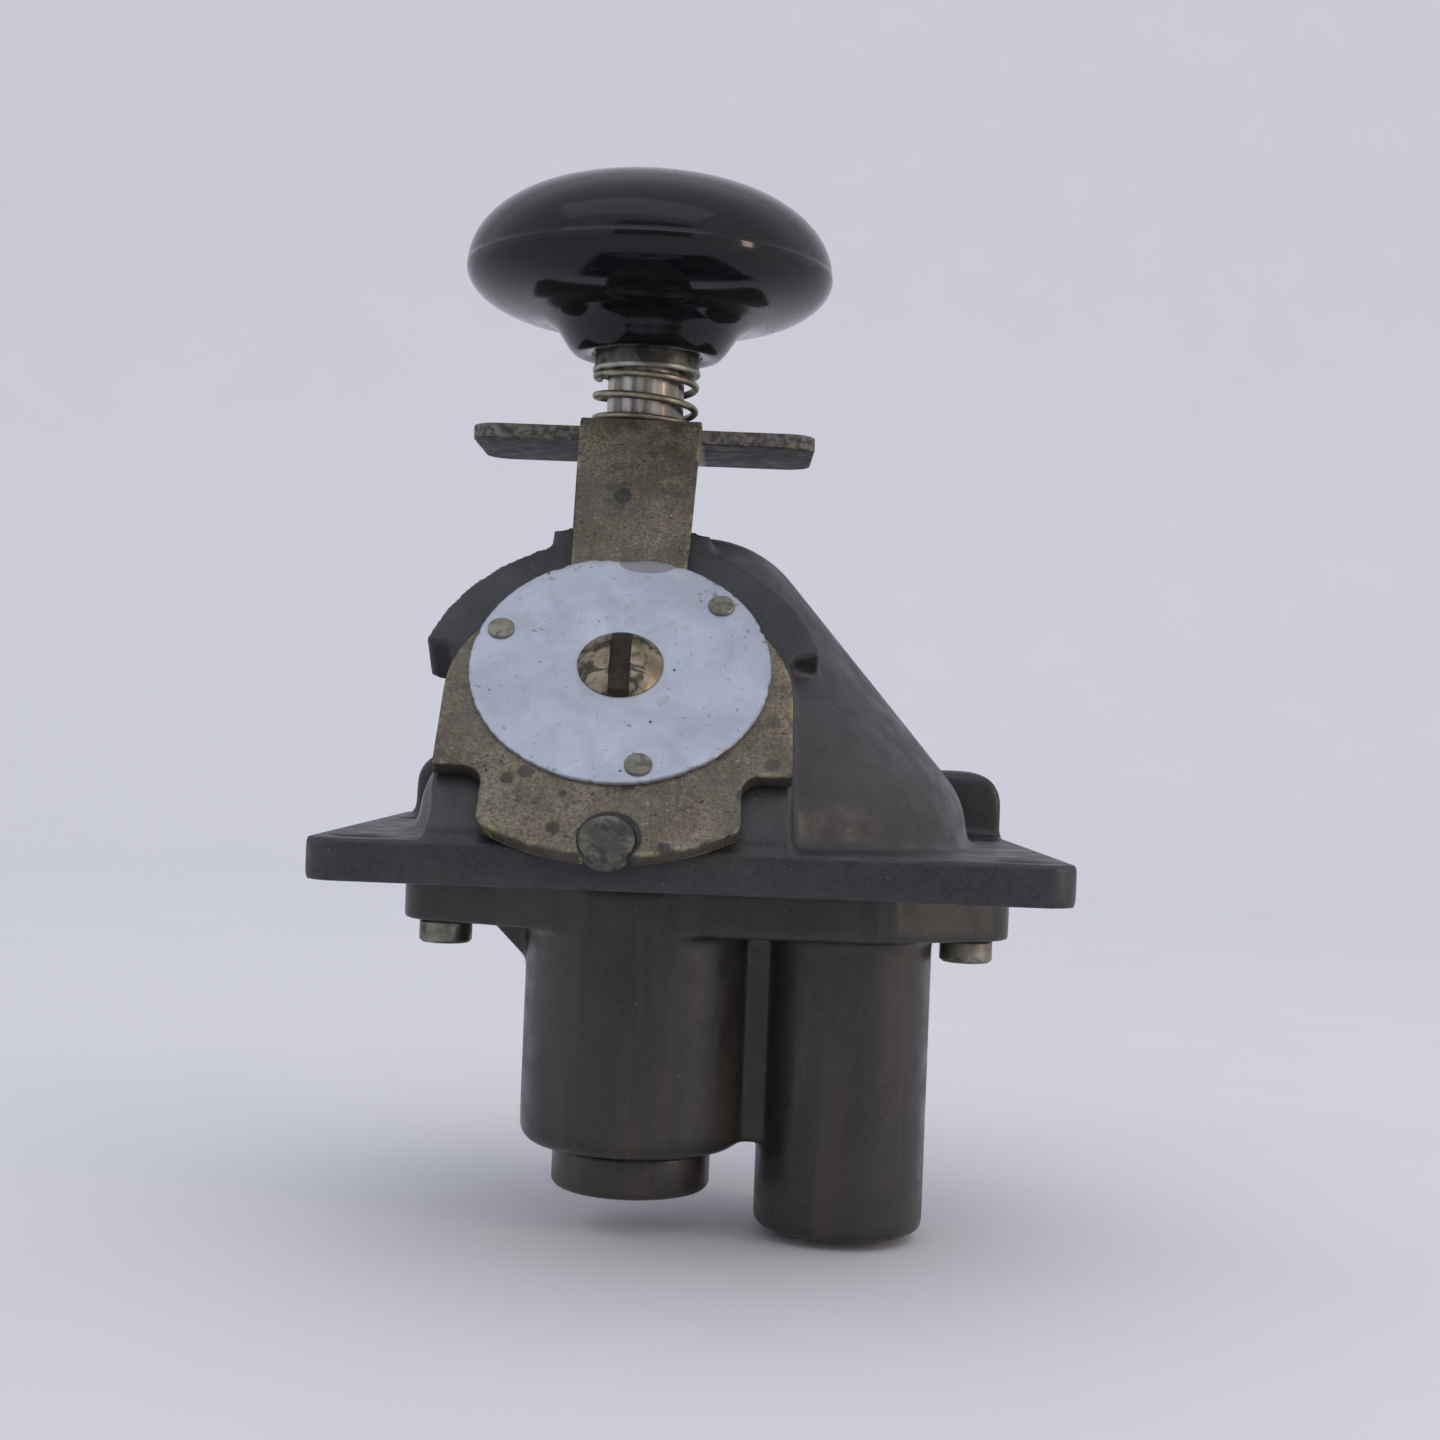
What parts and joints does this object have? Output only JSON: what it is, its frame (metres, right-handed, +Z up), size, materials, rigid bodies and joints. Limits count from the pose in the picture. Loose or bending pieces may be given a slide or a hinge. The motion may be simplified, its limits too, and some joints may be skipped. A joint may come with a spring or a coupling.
{
  "type": "lever control valve",
  "caption": "Console-mounted pneumatic control valve with an inclined stamped lever, a spring-loaded push knob, a domed cast housing with a mounting flange and a lower valve body.",
  "frame": {"origin": "centre of the flange's underside, which is the mounting face", "axes": "+Z up, square to the mounting face, from the flange towards the knob; -Y towards the operator; +X to the operator's right"},
  "size_m": [0.114, 0.1088, 0.1802],
  "materials": {
    "cast_grey": "satin dark grey casting",
    "cast_brown": "satin dark brown-grey casting",
    "bronze": "machined bronze",
    "gasket": "matt black rubber",
    "screw_steel": "dull plated steel",
    "turned_steel": "turned and polished steel",
    "worn_plating": "worn, spotted plating over steel",
    "disc_aluminium": "satin aluminium, chipped at the edge",
    "rivet_metal": "dull rivets",
    "worn_brass": "tarnished brass",
    "pin_steel": "dirty steel",
    "black_phenolic": "glossy black moulded plastic",
    "worn_steel": "worn steel",
    "spring_wire": "dull spring wire"
  },
  "bodies": {
    "housing": {"housing": "cast_grey", "hub_bushing": "bronze", "lower_body": "cast_brown", "body_gasket": "gasket", "body_screws": "screw_steel", "cylinder_cap": "cast_brown", "cap_seal": "gasket", "relay_cover": "turned_steel", "follower_spring": "spring_wire", "relay_spring": "spring_wire"},
    "lever": {"lever": "worn_plating", "name_disc": "disc_aluminium", "disc_rivets": "rivet_metal", "pivot_screw": "worn_brass", "index_pin": "pin_steel", "pivot_shaft": "turned_steel", "cam": "turned_steel", "cam_screw": "screw_steel", "knob_spring": "spring_wire"},
    "knob": {"knob": "black_phenolic", "press_rod": "turned_steel", "spring_cup": "worn_steel", "rod_clip": "worn_steel"},
    "follower": {"cam_follower": "turned_steel", "metering_piston": "bronze", "piston_seal": "gasket"},
    "relay": {"relay_piston": "bronze", "relay_seal": "gasket"}
  },
  "joints": [
    {"name": "lever_swing", "type": "hinge", "parent": "housing", "child": "lever", "pos_m": [-0.0123, -0.0315, 0.0332], "axis": [0, -0.766, 0.6428], "range_deg": [-25, 25]},
    {"name": "knob_press", "type": "slide", "parent": "lever", "child": "knob", "axis": [0, 0, -1], "range_m": [0, 0.0045], "stiffness_N_per_m": 1500, "springref_m": -0.006, "deforming": ["knob_spring"]},
    {"name": "follower_slide", "type": "slide", "parent": "housing", "child": "follower", "axis": [0, 0, 1], "range_m": [-0.0018, 0.0018], "deforming": ["follower_spring"]},
    {"name": "relay_slide", "type": "slide", "parent": "housing", "child": "relay", "axis": [0, 0, -1], "range_m": [0, 0.003], "stiffness_N_per_m": 600, "springref_m": -0.004, "deforming": ["relay_spring"]}
  ],
  "couplings": [
    {"joint": "follower_slide", "follows": "lever_swing", "m_per_rad": 0.00383}
  ]
}
